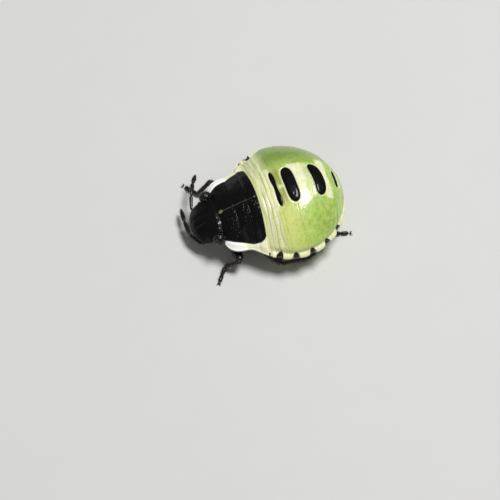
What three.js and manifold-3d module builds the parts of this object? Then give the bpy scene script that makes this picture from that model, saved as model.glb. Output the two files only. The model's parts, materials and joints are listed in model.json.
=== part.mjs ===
import * as THREE from 'three';
import { ConvexGeometry } from 'three/addons/geometries/ConvexGeometry.js';
import { mergeVertices } from 'three/addons/utils/BufferGeometryUtils.js';
import Module from 'manifold-3d';

// A young green shield bug in its third stage, at life size.
// Millimetres, +Z up, head towards -Y, the bug's own left at +X.
// The numbers below are measured from the ground under the middle of the body.
// At the end the whole bug moves so that the origin is under the middle of its box.

// Clear gap between neighbouring solids, and the overrun of a cutter past what it cuts
const GAP = 0.015;
const OVERRUN = 0.3;

// Height of the sharp edge that runs round the body, and the lowest level of the back plates
const RIM_Z = 0.77;
const PLATE_FLOOR_Z = 0.64;

// Trunk seen from above: a round abdomen, and the blunt shoulders in front of it
const ABDOMEN = { y: 0.6, halfWidth: 1.61, front: 1.43, rear: 1.54 };
const SHOULDERS = { y: -0.45, halfWidth: 1.06, front: 0.75, power: 3.3, bluntness: 6 };
const FRONT_Y = SHOULDERS.y - SHOULDERS.front;
const REAR_Y = ABDOMEN.y + ABDOMEN.rear;

// Trunk seen from the side: how far the back rises and the belly hangs from the rim
const BACK = { y: 0.8, rise: 0.93, frontReach: 2.35, frontPower: 1.44, rearPower: 2.4 };
const BELLY = { y: 0.45, drop: 0.52, frontReach: 2.6, rearPower: 2.6, frontPower: 2 };

// Fullness of the cross-section, flatter at the thorax than at the swollen abdomen
const FULLNESS = { thorax: 1.25, abdomen: 0.62, belly: 0.6, from: -0.3, to: 0.5 };

// Middle line of each border between back plates, and how far its ends bend backwards
const BORDERS = {
  pronotum: { y: -0.73, bend: 0.06 },
  mesonotum: { y: -0.4, bend: 0.03 },
  metanotum: { y: -0.15, bend: -0.03 },
};

// Head, sharp-edged at the cheeks and bent down towards its tip
const HEAD = {
  y: -1.2,
  halfWidth: 0.585,
  front: 0.57,
  rear: 0.27,
  power: 3,
  edgeZ: 0.75,
  edgeSlope: 0.42,
  rise: 0.25,
  drop: 0.4,
  tipDrop: 0.16,
  roundness: 1.2,
};
const EYE = { x: 0.6, y: -1.25, z: 0.82, radius: 0.17 };

// Jointed beak, folded back under the head and between the leg bases
const BEAK = { radius: 0.13, route: [[-1.52, 0.33], [-1.05, 0.24], [-0.35, 0.2]] };

// Scent gland plates along the middle of the abdomen: place, half the width, half the length,
// share by which the middle is pinched, and how far the ends bend
const GLAND_PLATES = [
  { y: 0.34, halfWidth: 0.5, halfLength: 0.065, waist: 0.4, bend: 0 },
  { y: 0.735, halfWidth: 0.49, halfLength: 0.165, waist: 0, bend: 0 },
  { y: 1.465, halfWidth: 0.45, halfLength: 0.145, waist: 0, bend: -0.35 },
  { y: 1.91, halfWidth: 0.24, halfLength: 0.05, waist: 0, bend: 0 },
];

// The plates' outline, how deep they are let into the back, and the share of the back's height
// in the middle that is left at their ends
const GLAND_PLATE_SQUARENESS = 0.7;
const WAIST_WIDTH = 0.18;
const GLAND_PLATE_DEPTH = 0.16;
const END_HEIGHT_SHARE = 0.9;

// Legs and feelers are half a millimetre thick, and the feet stand on small flats
const LIMB_RADIUS = 0.25;
const FOOT_Z = 0.22;
const GROUND = { reach: 4, depth: 1 };
const LEGS = {
  left: {
    fore: { hip: [0.55, -0.84, 0.36], knee: [1.22, -0.88, 0.37], ankle: [1.07, -1.22], toe: [1.42, -1.45] },
    mid: { hip: [0.58, -0.3, 0.33], knee: [1.5, 0.14, 0.36], ankle: [1.36, 0.88], toe: [1.22, 1.22] },
    hind: { hip: [0.5, 0.15, 0.33], knee: [0.8, 0.85, 0.36], ankle: [0.83, 1.72], toe: [0.9, 2.1] },
  },
  right: {
    fore: { hip: [-0.55, -0.84, 0.36], knee: [-1.24, -0.9, 0.37], ankle: [-1.14, -1.26], toe: [-1.46, -1.52] },
    mid: { hip: [-0.58, -0.3, 0.33], knee: [-1.5, 0.1, 0.36], ankle: [-1.44, 0.84], toe: [-1.4, 1.2] },
    hind: { hip: [-0.5, 0.15, 0.33], knee: [-0.86, 0.82, 0.36], ankle: [-0.9, 1.68], toe: [-1, 2.06] },
  },
};
const FEELERS = {
  left: [[0.4, -1.5, 0.45], [0.5, -1.78, 0.42], [0.12, -1.98, 0.4], [-0.34, -2.02, 0.34], [-0.8, -1.98, 0.27]],
  right: [[-0.42, -1.5, 0.5], [-0.62, -1.68, 0.56], [-0.94, -1.58, 0.64], [-1.24, -1.45, 0.68], [-1.52, -1.3, 0.66]],
};

// Fineness of the rounded shapes
const TRUNK_FINENESS = { around: 32, along: 24 };
const HEAD_FINENESS = { around: 18, along: 12 };
const EYE_FINENESS = { around: 12, along: 8 };
const LIMB_FINENESS = { around: 8, along: 6 };
const BORDER_STEPS = 8;
const OUTLINE_STEPS = 20;

// Corners closer than this are one corner
const WELD_DISTANCE = 1e-5;

const MATERIALS = {
  blackShell: new THREE.MeshStandardMaterial({ color: 0x0b0b0e, roughness: 0.25, metalness: 0 }),
  greenSkin: new THREE.MeshStandardMaterial({ color: 0x8fb650, roughness: 0.4, metalness: 0 }),
  eye: new THREE.MeshStandardMaterial({ color: 0x1c0d0a, roughness: 0.2, metalness: 0 }),
  limb: new THREE.MeshStandardMaterial({ color: 0x16110e, roughness: 0.35, metalness: 0 }),
};

const wasm = await Module();
wasm.setup();

function solidOf(geometry) {
  const bare = geometry.index ? geometry.toNonIndexed() : geometry.clone();
  bare.deleteAttribute('normal');
  bare.deleteAttribute('uv');
  const merged = mergeVertices(bare, WELD_DISTANCE);
  return new wasm.Manifold(new wasm.Mesh({
    numProp: 3,
    vertProperties: merged.attributes.position.array,
    triVerts: new Uint32Array(merged.index.array),
  }));
}

function largestPiece(solid) {
  return solid.decompose().sort((a, b) => b.volume() - a.volume())[0];
}

function meshOf(name, solid, material) {
  const made = largestPiece(solid).getMesh();
  const geometry = new THREE.BufferGeometry();
  geometry.setAttribute('position', new THREE.BufferAttribute(made.vertProperties, made.numProp));
  geometry.setIndex(new THREE.BufferAttribute(made.triVerts, 1));
  const mesh = new THREE.Mesh(geometry, material);
  mesh.name = name;
  return mesh;
}

// Superellipse that falls from 1 at the middle to 0 at the reach
function fall(distance, reach, power = 2) {
  return Math.max(0, 1 - Math.min(1, distance / reach) ** power) ** (1 / power);
}

function blend(value, from, to) {
  return THREE.MathUtils.smoothstep(value, from, to);
}

// A unit sphere with its poles along Y, each point moved by the given section function
function shapedSphere(fineness, place) {
  const geometry = new THREE.SphereGeometry(1, fineness.around, fineness.along);
  const position = geometry.getAttribute('position');
  for (let i = 0; i < position.count; i += 1) {
    const along = position.getY(i);
    const radius = Math.hypot(position.getX(i), position.getZ(i));
    const side = radius > WELD_DISTANCE ? position.getX(i) / radius : 0;
    const up = radius > WELD_DISTANCE ? position.getZ(i) / radius : 0;
    position.setXYZ(i, ...place(along, side, up));
  }
  return solidOf(geometry);
}

function abdomenHalfWidth(y) {
  const reach = y < ABDOMEN.y ? ABDOMEN.front : ABDOMEN.rear;
  return ABDOMEN.halfWidth * fall(Math.abs(y - ABDOMEN.y), reach);
}

function shoulderHalfWidth(y) {
  const away = Math.max(0, SHOULDERS.y - y);
  return y > ABDOMEN.y ? 0 : SHOULDERS.halfWidth * fall(away, SHOULDERS.front, SHOULDERS.power);
}

// Share of its full height that the trunk keeps near its blunt front end
function bluntFront(y) {
  return fall(Math.max(0, SHOULDERS.y - y), SHOULDERS.front, SHOULDERS.bluntness);
}

function backRise(y) {
  if (y > BACK.y) {
    return BACK.rise * fall(y - BACK.y, REAR_Y - BACK.y, BACK.rearPower);
  }
  return BACK.rise * (1 - ((BACK.y - y) / BACK.frontReach) ** BACK.frontPower) * bluntFront(y);
}

function bellyDrop(y) {
  if (y > BELLY.y) {
    return BELLY.drop * fall(y - BELLY.y, REAR_Y - BELLY.y, BELLY.rearPower);
  }
  return BELLY.drop * fall(BELLY.y - y, BELLY.frontReach, BELLY.frontPower) * bluntFront(y);
}

// Thorax and abdomen in one piece
function trunkSolid() {
  return shapedSphere(TRUNK_FINENESS, (along, side, up) => {
    const y = THREE.MathUtils.lerp(FRONT_Y, REAR_Y, (along + 1) / 2);
    const halfWidth = Math.max(abdomenHalfWidth(y), shoulderHalfWidth(y));
    const swollen = blend(y, FULLNESS.from, FULLNESS.to);
    const topPower = 2 * THREE.MathUtils.lerp(FULLNESS.thorax, FULLNESS.abdomen, swollen);
    const z = up > 0
      ? RIM_Z + backRise(y) * up ** topPower
      : RIM_Z - bellyDrop(y) * (-up) ** (2 * FULLNESS.belly);
    return [halfWidth * side, y, z];
  });
}

function headSolid(grow) {
  return shapedSphere(HEAD_FINENESS, (along, side, up) => {
    const reach = along < 0 ? HEAD.front : HEAD.rear;
    const y = HEAD.y + along * (reach + grow);
    const full = (1 - Math.abs(along) ** HEAD.power) ** (1 / HEAD.power);
    const edge = HEAD.edgeZ + HEAD.edgeSlope * Math.min(0, y - HEAD.y);
    const drop = THREE.MathUtils.lerp(HEAD.tipDrop, HEAD.drop, blend(y, HEAD.y - HEAD.front, HEAD.y));
    const height = up > 0 ? HEAD.rise + grow : drop + grow;
    const z = edge + height * Math.sign(up) * Math.abs(up) ** HEAD.roundness * full;
    return [(HEAD.halfWidth + grow) * side * full, y, z];
  });
}

function eyeSolid(side, grow) {
  const ball = new THREE.SphereGeometry(EYE.radius + grow, EYE_FINENESS.around, EYE_FINENESS.along);
  ball.translate(side * EYE.x, EYE.y, EYE.z);
  return solidOf(ball);
}

// Round-ended rod between two points
function rodSolid(from, to, radius) {
  const points = [];
  for (const centre of [from, to]) {
    const ball = new THREE.SphereGeometry(radius, LIMB_FINENESS.around, LIMB_FINENESS.along);
    ball.translate(...centre);
    const position = ball.getAttribute('position');
    for (let i = 0; i < position.count; i += 1) {
      points.push(new THREE.Vector3().fromBufferAttribute(position, i));
    }
  }
  return solidOf(new ConvexGeometry(points));
}

// Upright block under an outline drawn from above
function prism(points, low, high) {
  const shape = new THREE.Shape(points);
  const block = new THREE.ExtrudeGeometry(shape, { depth: high - low, bevelEnabled: false });
  block.translate(0, 0, low);
  return solidOf(block);
}

// Block between two borders across the body, each bent backwards towards its ends
function bandBetween(front, rear, low, high) {
  const reach = ABDOMEN.halfWidth + OVERRUN;
  const line = (border, shift) => {
    const points = [];
    for (let i = 0; i <= BORDER_STEPS; i += 1) {
      const x = THREE.MathUtils.lerp(-reach, reach, i / BORDER_STEPS);
      points.push(new THREE.Vector2(x, border.y + shift + border.bend * x * x));
    }
    return points;
  };
  return prism([...line(front, GAP / 2), ...line(rear, -GAP / 2).reverse()], low, high);
}

function glandOutline(plate, grow) {
  const points = [];
  for (let i = 0; i < OUTLINE_STEPS; i += 1) {
    const angle = (2 * Math.PI * i) / OUTLINE_STEPS;
    const side = Math.sign(Math.cos(angle)) * Math.abs(Math.cos(angle)) ** GLAND_PLATE_SQUARENESS;
    const x = (plate.halfWidth + grow) * side;
    const halfLength = plate.halfLength * (1 - plate.waist * Math.exp(-((x / WAIST_WIDTH) ** 2)));
    const y = plate.y + (halfLength + grow) * Math.sin(angle) + plate.bend * x * x;
    points.push(new THREE.Vector2(x, y));
  }
  return points;
}

function joined(solids) {
  return solids.reduce((all, one) => all.add(one));
}

const bug = new THREE.Group();
bug.name = 'shield_bug_nymph';

// Limbs: each length meets the one before it across the gap, and feet are cut flat at the ground
const groundCorners = [[-1, -1], [1, -1], [1, 1], [-1, 1]].map(
  ([x, y]) => new THREE.Vector2(x * GROUND.reach, y * GROUND.reach),
);
const ground = prism(groundCorners, -GROUND.depth, 0);
const limbPieces = [];
const limbSpace = [];

function addLimb(names, points) {
  for (let i = 0; i < names.length; i += 1) {
    let piece = rodSolid(points[i], points[i + 1], LIMB_RADIUS).subtract(ground);
    for (const taken of limbSpace) {
      piece = piece.subtract(taken);
    }
    limbPieces.push(meshOf(names[i], piece, MATERIALS.limb));
    limbSpace.push(rodSolid(points[i], points[i + 1], LIMB_RADIUS + GAP));
  }
}

for (const [sideName, legs] of Object.entries(LEGS)) {
  for (const [place, leg] of Object.entries(legs)) {
    const names = ['femur', 'tibia', 'foot'].map((length) => `leg_${place}_${sideName}_${length}`);
    addLimb(names, [leg.hip, leg.knee, [...leg.ankle, FOOT_Z], [...leg.toe, FOOT_Z]]);
  }
}
for (const [sideName, route] of Object.entries(FEELERS)) {
  const names = route.slice(1).map((_, i) => `antenna_${sideName}_${i + 1}`);
  addLimb(names, route);
}
bug.add(...limbPieces);
const limbs = joined(limbSpace);

// Beak
function beakSolid(radius) {
  const route = BEAK.route.map(([y, z]) => [0, y, z]);
  return joined(route.slice(1).map((point, i) => rodSolid(route[i], point, radius)));
}
bug.add(meshOf('rostrum', beakSolid(BEAK.radius).subtract(limbs), MATERIALS.limb));
const beakSpace = beakSolid(BEAK.radius + GAP);

// Eyes, seated in the head
const eyeSpace = joined([eyeSolid(1, GAP), eyeSolid(-1, GAP)]);
bug.add(meshOf('eye_left', eyeSolid(1, 0).subtract(limbs), MATERIALS.eye));
bug.add(meshOf('eye_right', eyeSolid(-1, 0).subtract(limbs), MATERIALS.eye));

// Head
const head = headSolid(0).subtract(eyeSpace).subtract(beakSpace).subtract(limbs);
bug.add(meshOf('head', head, MATERIALS.blackShell));

// Trunk, hollowed for the head, eyes, beak and limbs, then parted into plates, thorax and abdomen
const trunk = trunkSolid()
  .subtract(headSolid(GAP))
  .subtract(eyeSpace)
  .subtract(beakSpace)
  .subtract(limbs);
const frontEnd = { y: FRONT_Y - OVERRUN, bend: 0 };
const rearEnd = { y: REAR_Y + OVERRUN, bend: 0 };
const trunkTop = RIM_Z + BACK.rise + OVERRUN;

let border = frontEnd;
for (const [name, next] of Object.entries(BORDERS)) {
  const plate = trunk.intersect(bandBetween(border, next, PLATE_FLOOR_Z + GAP / 2, trunkTop));
  bug.add(meshOf(name, plate, MATERIALS.blackShell));
  border = next;
}
const thorax = trunk.intersect(bandBetween(frontEnd, border, -OVERRUN, PLATE_FLOOR_Z - GAP / 2));
bug.add(meshOf('thorax', thorax, MATERIALS.greenSkin));

// Abdomen, with the scent gland plates let into its back
let abdomen = trunk.intersect(bandBetween(border, rearEnd, -OVERRUN, trunkTop));
GLAND_PLATES.forEach((plate, i) => {
  const bottom = RIM_Z + backRise(plate.y + plate.halfLength) * END_HEIGHT_SHARE - GLAND_PLATE_DEPTH;
  const inset = prism(glandOutline(plate, 0), bottom, trunkTop).intersect(trunk);
  bug.add(meshOf(`gland_plate_${i + 1}`, inset, MATERIALS.blackShell));
  abdomen = abdomen.subtract(prism(glandOutline(plate, GAP), bottom - GAP, trunkTop));
});
bug.add(meshOf('abdomen', abdomen, MATERIALS.greenSkin));

// The origin goes to the ground under the middle of the whole bug
const box = new THREE.Box3().setFromObject(bug);
bug.position.set(-(box.min.x + box.max.x) / 2, -(box.min.y + box.max.y) / 2, -box.min.z);
bug.updateMatrixWorld(true);

export default bug;
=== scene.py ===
import json
import math

import bpy
import numpy as np
from mathutils import Matrix, Vector

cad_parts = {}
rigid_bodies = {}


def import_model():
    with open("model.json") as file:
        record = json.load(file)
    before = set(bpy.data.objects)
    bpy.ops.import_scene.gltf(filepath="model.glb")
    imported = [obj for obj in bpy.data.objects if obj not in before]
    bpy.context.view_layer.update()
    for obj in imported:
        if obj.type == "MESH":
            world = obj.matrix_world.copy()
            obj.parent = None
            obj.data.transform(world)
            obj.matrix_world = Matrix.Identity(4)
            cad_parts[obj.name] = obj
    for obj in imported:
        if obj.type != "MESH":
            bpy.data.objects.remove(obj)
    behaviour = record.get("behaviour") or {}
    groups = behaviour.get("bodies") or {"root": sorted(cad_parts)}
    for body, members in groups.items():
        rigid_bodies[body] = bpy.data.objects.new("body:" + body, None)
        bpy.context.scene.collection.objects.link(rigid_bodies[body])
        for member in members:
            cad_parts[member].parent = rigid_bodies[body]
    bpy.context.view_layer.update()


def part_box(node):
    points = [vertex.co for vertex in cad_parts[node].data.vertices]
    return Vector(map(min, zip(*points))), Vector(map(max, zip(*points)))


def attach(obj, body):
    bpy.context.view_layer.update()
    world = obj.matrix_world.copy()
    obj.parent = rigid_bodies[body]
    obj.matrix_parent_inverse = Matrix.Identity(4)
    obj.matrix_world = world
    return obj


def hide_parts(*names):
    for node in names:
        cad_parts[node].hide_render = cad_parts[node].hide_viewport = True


bl_info = {
    "name": "Young green shield bug",
    "version": (1, 0, 0),
    "blender": (4, 5, 0),
    "location": "3D View > Sidebar > Bug",
    "description": "Builds a still, life-size young green shield bug around its solids",
    "category": "Add Mesh",
}

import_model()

BODY = "root"
MM = 0.001
FULL_TURN = 2 * math.pi
SIDES = {"left": 1, "right": -1}

# Places are in millimetres: x to the bug's own left, y towards the tail, z above the ground.
# The body's middle plane is at x = 0, and the abdomen's solid says where that lies in the frame.
ABDOMEN_LOW, ABDOMEN_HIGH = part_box("abdomen")
TAIL_Y = 2.14
FRAME_SHIFT = np.array([
    (ABDOMEN_LOW.x + ABDOMEN_HIGH.x) / 2,
    ABDOMEN_HIGH.y - TAIL_Y * MM,
    0.0,
])

# Trunk: outline from above, rise of the back and drop of the belly from the rim
RIM_Z = 0.77
ABDOMEN_Y, ABDOMEN_FRONT, ABDOMEN_REAR = 0.6, 1.43, 1.54
SHOULDER_Y, SHOULDER_FRONT, SHOULDER_POWER = -0.45, 0.75, 4.0
BACK_Y, BACK_FRONT_REACH = 0.8, 2.35
BELLY_Y = 0.45
NOSE_Y = SHOULDER_Y - SHOULDER_FRONT
# How tightly the outlines of shoulders and abdomen are joined
JOIN_POWER = 14.0
# How steeply the back falls to the rim, over the thorax and over the abdomen
THORAX_ARCH, ABDOMEN_ARCH = 1.25, 0.62

# Borders of the back plates: y on the middle line, and how far the ends bend back
PLATE_BORDERS = {
    "front": (-1.2, 0.0),
    "pronotum": (-0.73, 0.06),
    "mesonotum": (-0.4, 0.03),
    "metanotum": (-0.15, -0.03),
}
# Half the width of the black shield on the thorax, inside its pale margins, at places along it
BLACK_PLACES = [-1.3, -1.19, -1.12, -0.93, -0.71, -0.57, -0.44, -0.28, -0.2, -0.13, -0.09, -0.06]
BLACK_WIDTHS = [0.9, 0.8, 0.7, 0.815, 0.895, 0.945, 1.0, 1.03, 1.01, 0.93, 0.8, 0.5]

# Folds and seams of the abdomen: y on the middle line, y at the rim, depth, width and darkness
SEAMS = [
    (-0.1, -0.13, 0.012, 0.011, 0.6),
    (-0.05, -0.075, 0.006, 0.008, 0.35),
    (0.0, -0.02, 0.018, 0.012, 1.0),
    (0.05, 0.045, 0.006, 0.008, 0.4),
    (0.1, 0.1, 0.016, 0.011, 0.85),
    (0.19, 0.21, 0.011, 0.011, 0.55),
    (0.25, 0.29, 0.005, 0.009, 0.3),
    (0.34, 0.36, 0.005, 0.01, 0.35),
    (0.735, 0.75, 0.006, 0.011, 0.35),
    (1.42, 1.17, 0.007, 0.011, 0.35),
    (1.74, 1.48, 0.01, 0.014, 0.35),
    (1.83, 1.66, 0.014, 0.014, 0.55),
    (1.92, 1.83, 0.014, 0.014, 0.45),
    (2.02, 1.97, 0.012, 0.012, 0.4),
]
# Black half-moon spots of the rim: y, size and depth of the notch they lie in, as shares
RIM_SPOTS = [
    (-0.19, 0.5, 0.3),
    (0.05, 1.0, 0.6),
    (0.45, 1.0, 1.0),
    (0.9, 1.0, 1.0),
    (1.34, 1.0, 1.0),
    (1.73, 1.0, 1.0),
]
# Distance from a mark that is past every mark
FAR_OFF = 9.0

# Scent gland plates: y of the middle, half width, half length, waist, bend and slant of the ends
GLAND_PLATES = [
    (0.34, 0.5, 0.062, 0.45, 0.0, 0.03),
    (0.718, 0.5, 0.15, 0.0, 0.0, 0.035),
    (1.455, 0.455, 0.14, 0.0, -0.35, 0.06),
    (1.9, 0.24, 0.036, 0.0, 0.0, 0.0),
]
WAIST_REACH = 0.16

# Head: sharp-edged at the cheeks and bent down towards its tip
HEAD_Y, HEAD_HALF_WIDTH, HEAD_FRONT, HEAD_REAR = -1.2, 0.585, 0.57, 0.27
HEAD_EDGE_Z, HEAD_SLOPE, HEAD_RISE, HEAD_DROP, HEAD_TIP_DROP = 0.75, 0.42, 0.25, 0.4, 0.16
EYE_PLACE = (0.615, -1.25, 0.825)

# Feeler joints, from the base to the tip
FEELERS = {
    "left": [
        (0.37, -1.47, 0.5), (0.45, -1.66, 0.46), (0.1, -1.85, 0.41), (-0.32, -1.86, 0.35),
        (-0.74, -1.83, 0.28),
    ],
    "right": [
        (-0.38, -1.47, 0.5), (-0.5, -1.64, 0.55), (-0.86, -1.54, 0.6), (-1.2, -1.4, 0.6),
        (-1.46, -1.24, 0.53),
    ],
}

# Leg joints on both sides: base, hip, knee, ankle, foot joint and toe
LEGS = {
    "fore_left": [
        (0.3, -0.82, 0.38), (0.47, -0.84, 0.3), (1.2, -0.86, 0.5),
        (1.05, -1.2, 0.12), (1.21, -1.31, 0.055), (1.39, -1.43, 0.055),
    ],
    "fore_right": [
        (-0.3, -0.82, 0.38), (-0.47, -0.84, 0.3), (-1.22, -0.9, 0.5),
        (-1.13, -1.25, 0.12), (-1.28, -1.37, 0.055), (-1.45, -1.5, 0.055),
    ],
    "mid_left": [
        (0.32, -0.4, 0.36), (0.5, -0.34, 0.29), (1.5, 0.13, 0.44),
        (1.35, 0.86, 0.11), (1.27, 1.02, 0.055), (1.15, 1.2, 0.055),
    ],
    "mid_right": [
        (-0.32, -0.4, 0.36), (-0.5, -0.34, 0.29), (-1.5, 0.1, 0.44),
        (-1.44, 0.83, 0.11), (-1.43, 1.01, 0.055), (-1.4, 1.2, 0.055),
    ],
    "hind_left": [
        (0.3, 0.02, 0.34), (0.47, 0.12, 0.27), (0.8, 0.86, 0.4),
        (0.83, 1.7, 0.11), (0.86, 1.92, 0.055), (0.9, 2.12, 0.055),
    ],
    "hind_right": [
        (-0.3, 0.02, 0.34), (-0.47, 0.12, 0.27), (-0.86, 0.82, 0.4),
        (-0.9, 1.66, 0.11), (-0.95, 1.87, 0.055), (-1.0, 2.07, 0.055),
    ],
}
# Bristles grow where their tips, this far out from the limb, stay this high above the ground
BRISTLE_REACH, BRISTLE_CLEARANCE = 0.08, 0.03


# Plain shapes of numbers

def fall(distance, reach, power=2.0):
    """Superellipse that falls from 1 at the middle to 0 at the reach."""
    share = np.clip(np.asarray(distance, float) / reach, 0.0, 1.0)
    return (1.0 - share ** power) ** (1.0 / power)


def smooth(value, low, high):
    """Smooth step from 0 at low to 1 at high."""
    t = np.clip((np.asarray(value, float) - low) / (high - low), 0.0, 1.0)
    return t * t * (3.0 - 2.0 * t)


def bump(distance, width):
    """Round hill, 1 in the middle, that fades over the width."""
    return np.exp(-((np.asarray(distance, float) / width) ** 2))


def ripple(x, y, z, scale, seed):
    """Gentle uneven waves between about -1 and 1, the same on each run."""
    rng = np.random.default_rng(seed)
    total = np.zeros(np.broadcast(x, y, z).shape)
    for _ in range(7):
        way = rng.normal(size=3)
        way /= np.linalg.norm(way)
        pace = rng.uniform(0.6, 1.7) * FULL_TURN / scale
        total += np.sin(pace * (way[0] * x + way[1] * y + way[2] * z) + rng.uniform(0, FULL_TURN))
    return total / 3.5


def to_frame(points):
    """Millimetres of the body to metres of the frame."""
    return np.asarray(points, float) * MM + FRAME_SHIFT


# Settings

def length_setting(name, description, metres):
    return bpy.props.FloatProperty(
        name=name, description=description, default=metres, unit="LENGTH", precision=6)


def colour_setting(name, description, colour):
    return bpy.props.FloatVectorProperty(
        name=name, description=description, default=colour, subtype="COLOR", size=3, min=0.0, max=1.0)


def angle_setting(name, description, degrees):
    return bpy.props.FloatProperty(
        name=name, description=description, default=math.radians(degrees), subtype="ANGLE")


def power_setting(name, description, watts):
    return bpy.props.FloatProperty(name=name, description=description, default=watts, unit="POWER")


class BugBodySettings(bpy.types.PropertyGroup):
    half_width: length_setting(
        "Half width", "Half the width of the abdomen at its rim", (ABDOMEN_HIGH.x - ABDOMEN_LOW.x) / 2)
    shoulder_half_width: length_setting(
        "Shoulder half width", "Half the width of the thorax at its rim", 0.00106)
    back_rise: length_setting(
        "Back rise", "Height of the back above the rim", ABDOMEN_HIGH.z - RIM_Z * MM)
    belly_drop: length_setting("Belly drop", "Depth of the belly below the rim", 0.00052)
    seam_strength: bpy.props.FloatProperty(
        name="Seam strength", description="Depth of the folds between segments, as a share",
        default=1.0, min=0.0, max=3.0)
    skin_pit_gap: length_setting(
        "Skin pit gap", "Least distance between the pits of the abdomen", 0.000085)
    shell_pit_gap: length_setting(
        "Shell pit gap", "Least distance between the pits of the black shell", 0.00006)
    pit_width: length_setting("Pit width", "Half the width of a pit", 0.000021)
    pit_depth: length_setting("Pit depth", "Depth of a pit", 0.000012)
    seed: bpy.props.IntProperty(
        name="Seed", description="Start of the random scatter of pits and bristles", default=7)


class BugLimbSettings(bpy.types.PropertyGroup):
    femur_radius: length_setting("Femur radius", "Thickest half width of the upper leg", 0.00012)
    tibia_radius: length_setting("Tibia radius", "Half width of the lower leg", 0.00007)
    foot_radius: length_setting("Foot radius", "Half width of the foot", 0.00005)
    feeler_radius: length_setting("Feeler radius", "Thickest half width of the feelers", 0.000055)
    bristle_length: length_setting(
        "Bristle length", "Length of the bristles on legs and feelers", 0.00007)
    bristle_gap: length_setting("Bristle gap", "Least distance between bristles", 0.000035)


class BugColourSettings(bpy.types.PropertyGroup):
    green: colour_setting("Green", "Sides of the abdomen", (0.35, 0.59, 0.09))
    olive: colour_setting("Olive", "Darker skin between the first gland plates", (0.19, 0.22, 0.036))
    yellow: colour_setting("Yellow green", "Bands behind the thorax", (0.76, 0.79, 0.24))
    cream: colour_setting("Cream", "Pale skin round the gland plates and at the rim", (0.93, 0.91, 0.6))
    white: colour_setting("White", "Margins of the pronotum", (0.98, 0.98, 0.95))
    black: colour_setting(
        "Black", "Hard shell of head, thorax and gland plates", (0.0028, 0.0025, 0.0026))
    eye: colour_setting("Eye", "Compound eyes", (0.006, 0.003, 0.0022))
    limb: colour_setting("Limb", "Legs, feelers and beak", (0.005, 0.004, 0.0035))
    joint: colour_setting("Joint", "Browner ends of the limbs", (0.035, 0.016, 0.008))
    bristle: colour_setting("Bristle", "Short bristles", (0.08, 0.06, 0.04))
    floor: colour_setting("Floor", "Plain pale floor", (0.66, 0.66, 0.64))


class BugStageSettings(bpy.types.PropertyGroup):
    azimuth: angle_setting(
        "Azimuth", "Camera's turn from straight ahead of the bug towards its left", 65.5)
    elevation: angle_setting("Elevation", "Camera's height above the horizon", 61.2)
    roll: angle_setting("Roll", "Camera's turn about its own line of sight", 8.4)
    distance: length_setting("Distance", "Camera's distance from the bug", 0.0694)
    lens: bpy.props.FloatProperty(name="Lens", description="Focal length", default=200.0, unit="CAMERA")
    key_power: power_setting("Key light", "Strength of the main soft light", 0.074)
    fill_power: power_setting("Fill light", "Strength of the broad side light", 0.014)
    sky: bpy.props.FloatProperty(
        name="Sky light", description="Strength of the even light all round", default=0.15)


# Trunk shape

def half_width(y):
    """Half the trunk's width at its rim."""
    body = bpy.context.scene.bug_body
    reach = np.where(y < ABDOMEN_Y, ABDOMEN_FRONT, ABDOMEN_REAR)
    abdomen = body.half_width / MM * fall(np.abs(y - ABDOMEN_Y), reach)
    away = np.maximum(0.0, SHOULDER_Y - y)
    shoulders = body.shoulder_half_width / MM * fall(away, SHOULDER_FRONT, SHOULDER_POWER)
    shoulders = np.where(y > ABDOMEN_Y, 0.0, shoulders)
    return (abdomen ** JOIN_POWER + shoulders ** JOIN_POWER) ** (1 / JOIN_POWER)


def nose(y):
    """Rounding of the trunk's front end, 1 behind it and 0 at its tip."""
    return fall(np.maximum(0.0, SHOULDER_Y - y), SHOULDER_FRONT, 6)


def back_rise(y):
    """Height of the middle of the back above the rim."""
    rise = bpy.context.scene.bug_body.back_rise / MM
    rear = fall(y - BACK_Y, TAIL_Y - BACK_Y, 2.4)
    front = (1 - (np.maximum(0.0, BACK_Y - y) / BACK_FRONT_REACH) ** 1.44) * nose(y)
    return rise * np.where(y > BACK_Y, rear, front)


def belly_drop(y):
    """Depth of the middle of the belly below the rim."""
    drop = bpy.context.scene.bug_body.belly_drop / MM
    rear = fall(y - BELLY_Y, TAIL_Y - BELLY_Y, 2.6)
    front = fall(BELLY_Y - y, 2.6) * nose(y)
    return drop * np.where(y > BELLY_Y, rear, front)


def arch(y):
    """How steeply the back falls from its middle to the rim."""
    return THORAX_ARCH + (ABDOMEN_ARCH - THORAX_ARCH) * smooth(y, -0.3, 0.5)


def trunk_point(y, angle):
    """Point of the trunk's surface: angle 0 is the left rim, a quarter turn the middle of the back."""
    y, angle = np.broadcast_arrays(np.asarray(y, float), np.asarray(angle, float))
    side, up = np.cos(angle), np.sin(angle)
    over = back_rise(y) * np.maximum(up, 0.0) ** (2 * arch(y))
    under = belly_drop(y) * np.maximum(-up, 0.0) ** 1.2
    return np.stack([half_width(y) * side, y, RIM_Z + over - under], axis=-1)


def side_share(x, y):
    """How far out a place lies, from 0 on the middle line to 1 at the rim."""
    return np.abs(x) / np.maximum(half_width(y), 1e-6)


def rim_distance(x, y, z):
    return np.hypot(half_width(y) - np.abs(x), z - RIM_Z)


def back_height(x, y):
    """Height of the back above the ground at a place seen from above."""
    share = np.clip(side_share(x, y), 0.0, 1.0)
    return RIM_Z + back_rise(y) * (1 - share ** 2) ** arch(y)


def border_line(name, x):
    y, bend = PLATE_BORDERS[name]
    return y + bend * x * x


def black_half_width(y):
    return np.interp(y, BLACK_PLACES, BLACK_WIDTHS)


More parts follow.
